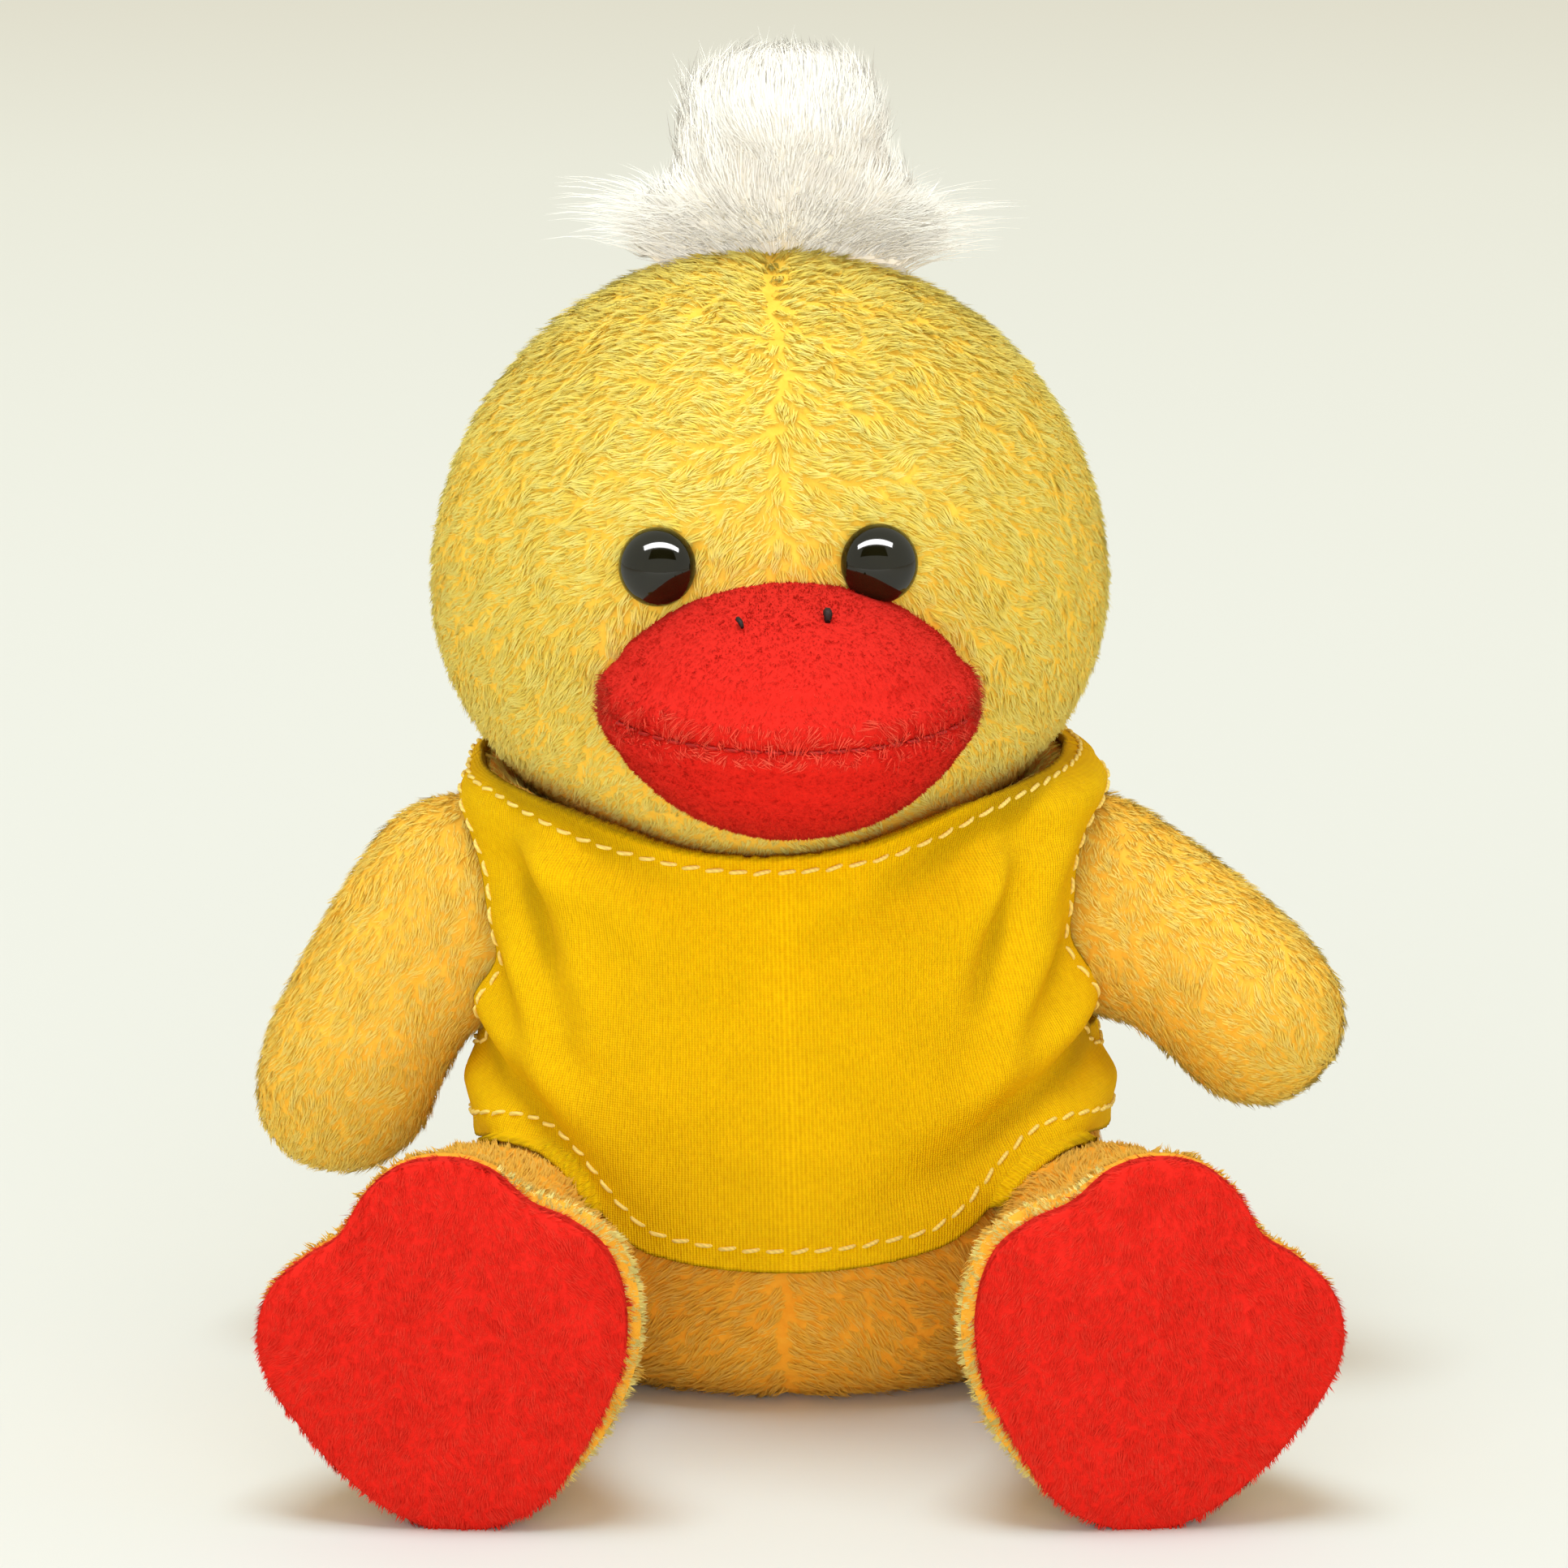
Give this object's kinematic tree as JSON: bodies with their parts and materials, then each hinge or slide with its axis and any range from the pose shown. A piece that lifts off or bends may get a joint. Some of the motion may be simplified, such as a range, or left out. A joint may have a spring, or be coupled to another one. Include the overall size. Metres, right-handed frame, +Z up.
{
  "type": "plush duck",
  "caption": "Small seated stuffed duck with a big round head, a tuft of long fur, a flat bill, paddle arms, webbed soles and a sleeveless knitted vest.",
  "frame": {"origin": "on the flat of the seat, in the middle of the body's width and depth", "axes": "+Z up through the head to the tuft; the duck faces -Y; its own left is +X"},
  "size_m": [0.1159, 0.1029, 0.1438],
  "materials": {
    "yellow_plush": "short pile plush, brushed nap",
    "white_fur": "long pile faux fur",
    "patch_cloth": "woven backing",
    "red_plush": "very short pile plush",
    "red_thread": "sewing thread",
    "dark_thread": "embroidery thread",
    "eye_plastic": "polished",
    "washer_plastic": "moulded",
    "amber_knit": "fine cotton knit, cut edges",
    "cream_thread": "sewing thread",
    "stuffing": "polyester fibre",
    "pouch_cloth": "woven cotton"
  },
  "bodies": {
    "torso": {"torso_skin": "yellow_plush", "torso_stuffing": "stuffing", "pellet_pouch": "pouch_cloth", "vest_front": "amber_knit", "vest_back": "amber_knit", "neckline_stitching": "cream_thread", "hem_stitching": "cream_thread", "armhole_stitching_left": "cream_thread", "armhole_stitching_right": "cream_thread"},
    "head": {"head_skin": "yellow_plush", "head_stuffing": "stuffing", "tuft_backing": "patch_cloth", "hair_tuft": "white_fur", "bill_upper": "red_plush", "bill_lower": "red_plush", "bill_stuffing": "stuffing", "mouth_thread": "red_thread", "nostril_left": "dark_thread", "nostril_right": "dark_thread", "eye_left": "eye_plastic", "eye_right": "eye_plastic", "eye_washer_left": "washer_plastic", "eye_washer_right": "washer_plastic"},
    "arm_left": {"arm_skin_left": "yellow_plush", "arm_stuffing_left": "stuffing"},
    "arm_right": {"arm_skin_right": "yellow_plush", "arm_stuffing_right": "stuffing"},
    "leg_left": {"leg_skin_left": "yellow_plush", "leg_stuffing_left": "stuffing", "foot_sole_left": "red_plush"},
    "leg_right": {"leg_skin_right": "yellow_plush", "leg_stuffing_right": "stuffing", "foot_sole_right": "red_plush"}
  },
  "joints": [
    {"name": "neck_nod", "type": "hinge", "parent": "torso", "child": "head", "pos_m": [-0.001, 0, 0.06], "axis": [0.9993, 0.0384, 0], "range_deg": [-10, 6], "stiffness_Nm_per_rad": 0.08},
    {"name": "shoulder_left_flap", "type": "hinge", "parent": "torso", "child": "arm_left", "pos_m": [0.0338, 0, 0.049], "axis": [-0.5592, -0.829, 0], "range_deg": [0, 40], "stiffness_Nm_per_rad": 0.008},
    {"name": "shoulder_right_flap", "type": "hinge", "parent": "torso", "child": "arm_right", "pos_m": [-0.0338, 0, 0.049], "axis": [-0.0698, 0.9976, 0], "range_deg": [0, 75], "stiffness_Nm_per_rad": 0.008},
    {"name": "hip_left_swing", "type": "hinge", "parent": "torso", "child": "leg_left", "pos_m": [0.0326, -0.0215, 0.0137], "axis": [-0.9945, -0.1045, 0], "range_deg": [-5, 20], "stiffness_Nm_per_rad": 0.02},
    {"name": "hip_right_swing", "type": "hinge", "parent": "torso", "child": "leg_right", "pos_m": [-0.0294, -0.0215, 0.0137], "axis": [-0.9969, 0.0785, 0], "range_deg": [-5, 20], "stiffness_Nm_per_rad": 0.02}
  ]
}
